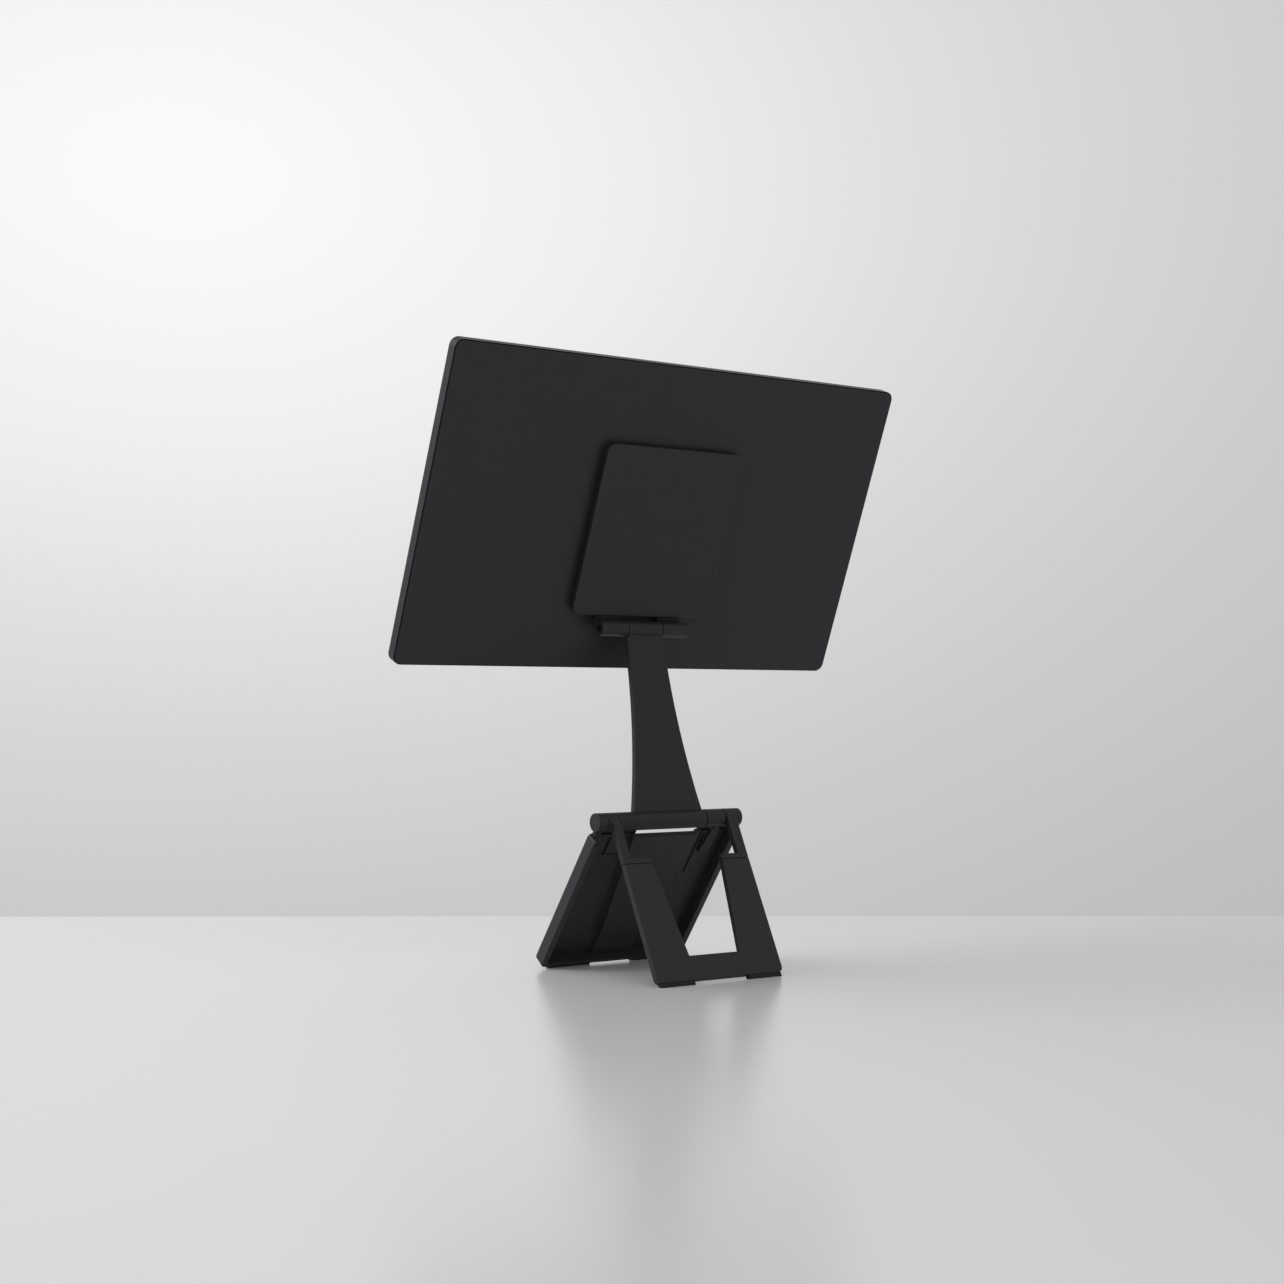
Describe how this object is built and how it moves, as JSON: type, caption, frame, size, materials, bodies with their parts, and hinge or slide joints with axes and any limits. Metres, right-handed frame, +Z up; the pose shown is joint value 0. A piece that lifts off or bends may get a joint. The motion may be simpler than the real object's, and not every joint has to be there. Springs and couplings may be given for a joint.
{
  "type": "portable monitor on a folding stand",
  "caption": "Thin portable screen held by a square magnetic plate on a raised waisted arm over a folding easel stand with a tray front leg and a windowed back leg.",
  "frame": {"origin": "on the floor, midway between the front tray's lower edge and the back leg's foot, in the middle of the screen's width", "axes": "+Z up; the screen faces -Y and the magnetic plate and the back leg face +Y; +X is the viewer's right when facing the screen"},
  "size_m": [0.3602, 0.1288, 0.4027],
  "materials": {
    "anodised_black": "matte black anodised",
    "case_black": "fine matte black anodised",
    "black_rubber": "matte",
    "carrier_plastic": "fine matte",
    "pin_steel": "ground",
    "black_steel": "black oxide",
    "zinc_steel": "zinc plated",
    "bush_bronze": "satin",
    "magnet_nickel": "nickel plated",
    "cover_glass": "gloss, screen off",
    "panel_glass": "dark, screen off",
    "guide_acrylic": "clear with a white back",
    "lamp_strip": "white",
    "frame_metal": "pressed, plain",
    "board_green": "solder mask",
    "socket_metal": "nickel plated",
    "part_plastic": "moulded",
    "flex_film": "amber film"
  },
  "bodies": {
    "front_leg": {"front_tray": "anodised_black", "front_bracket_outer": "anodised_black", "front_bracket_inner": "anodised_black", "front_bracket_dowels": "black_steel", "front_foot_left": "black_rubber", "front_foot_right": "black_rubber", "lower_pin": "pin_steel", "hinge_washers": "bush_bronze", "pin_cap_front": "anodised_black"},
    "back_leg": {"back_leg_frame": "anodised_black", "back_bracket_inner": "anodised_black", "back_bracket_outer": "anodised_black", "back_bracket_screws": "black_steel", "back_foot_left": "black_rubber", "back_foot_right": "black_rubber", "pin_cap_back": "anodised_black"},
    "arm": {"arm": "anodised_black", "lower_bushes": "bush_bronze", "upper_bush": "bush_bronze"},
    "plate": {"mount_plate": "anodised_black", "plate_hinge_left": "anodised_black", "plate_hinge_right": "anodised_black", "plate_hinge_screws": "zinc_steel", "magnet_carrier": "carrier_plastic", "plate_magnets": "magnet_nickel", "plate_face_pad": "black_rubber", "upper_pin": "black_steel"},
    "monitor": {"rear_cover": "case_black", "front_glass": "cover_glass", "lcd_panel": "panel_glass", "light_guide": "guide_acrylic", "lamp_strip": "lamp_strip", "mid_frame": "frame_metal", "steel_target": "zinc_steel", "main_board": "board_green", "board_screws": "zinc_steel", "usb_c_sockets": "socket_metal", "picture_socket": "socket_metal", "button_switches": "part_plastic", "speaker_left": "part_plastic", "speaker_right": "part_plastic", "panel_cable": "flex_film"},
    "power_button": {"power_button": "case_black"},
    "menu_button": {"menu_button": "case_black"}
  },
  "joints": [
    {"name": "back_leg_hinge", "type": "hinge", "parent": "front_leg", "child": "back_leg", "pos_m": [0, 0.00717, 0.1013], "axis": [1, 0, 0], "range_deg": [-62, 0]},
    {"name": "arm_hinge", "type": "hinge", "parent": "front_leg", "child": "arm", "pos_m": [0, 0.00717, 0.1013], "axis": [1, 0, 0], "range_deg": [-35, 35]},
    {"name": "screen_tilt", "type": "hinge", "parent": "arm", "child": "plate", "pos_m": [0, -0.02138, 0.22905], "axis": [1, 0, 0], "range_deg": [-68, 32]},
    {"name": "monitor_off", "type": "slide", "parent": "plate", "child": "monitor", "axis": [0, -0.9272, 0.3746], "range_m": [0, 0.06]},
    {"name": "power_press", "type": "slide", "parent": "monitor", "child": "power_button", "axis": [1, 0, 0], "range_m": [0, 0.0003], "stiffness_N_per_m": 1500, "springref_m": -0.0004},
    {"name": "menu_press", "type": "slide", "parent": "monitor", "child": "menu_button", "axis": [1, 0, 0], "range_m": [0, 0.0003], "stiffness_N_per_m": 1500, "springref_m": -0.0004}
  ]
}
